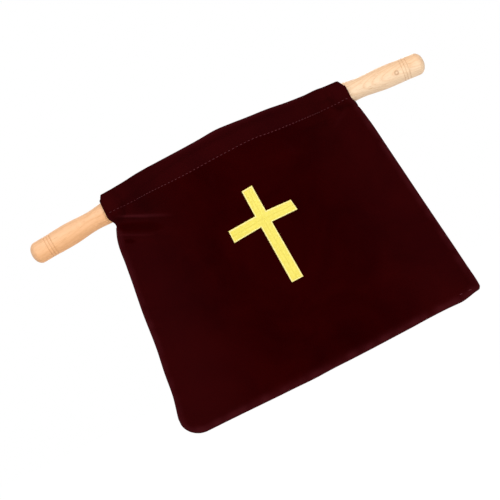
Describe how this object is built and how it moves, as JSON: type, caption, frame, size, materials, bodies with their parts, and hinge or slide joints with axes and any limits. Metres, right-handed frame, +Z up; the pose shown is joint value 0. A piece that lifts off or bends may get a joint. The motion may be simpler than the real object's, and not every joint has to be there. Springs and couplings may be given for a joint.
{
  "type": "offertory bag",
  "caption": "Velvet offertory bag with a hemmed mouth on swinging wire bows, a turned wooden handle at each end and a cross on the front.",
  "frame": {"origin": "middle of the flat underside of the bottom seam", "axes": "+Z up, +X along the handles to the right of the front view, the front with the cross faces -Y"},
  "size_m": [0.3936, 0.1264, 0.2333],
  "materials": {
    "handle_wood": "turned and lightly waxed",
    "bow_steel": "bright drawn wire",
    "velvet": "burgundy velvet",
    "seam_backing": "velvet with its knitted back showing",
    "hem_thread": "red sewing thread",
    "cross_thread": "yellow satin stitch",
    "backing_sheet": "white embroidery backing"
  },
  "bodies": {
    "bag": {"left_handle": "handle_wood", "right_handle": "handle_wood", "front_panel": "velvet", "back_panel": "velvet", "left_front_hem_end": "velvet", "left_back_hem_end": "velvet", "right_front_hem_end": "velvet", "right_back_hem_end": "velvet", "left_side_seam": "seam_backing", "right_side_seam": "seam_backing", "bottom_seam": "velvet", "cross_embroidery": "cross_thread", "cross_backing": "backing_sheet"},
    "front_bow": {"front_bow_wire": "bow_steel", "front_hem_sleeve": "velvet", "front_hem_stitching": "hem_thread"},
    "back_bow": {"back_bow_wire": "bow_steel", "back_hem_sleeve": "velvet", "back_hem_stitching": "hem_thread"}
  },
  "joints": [
    {"name": "front_bow_swing", "type": "hinge", "parent": "bag", "child": "front_bow", "pos_m": [0, -0.0036, 0.22], "axis": [-1, 0, 0], "range_deg": [0, 65]},
    {"name": "back_bow_swing", "type": "hinge", "parent": "bag", "child": "back_bow", "pos_m": [0, 0.0036, 0.22], "axis": [1, 0, 0], "range_deg": [0, 65]}
  ]
}
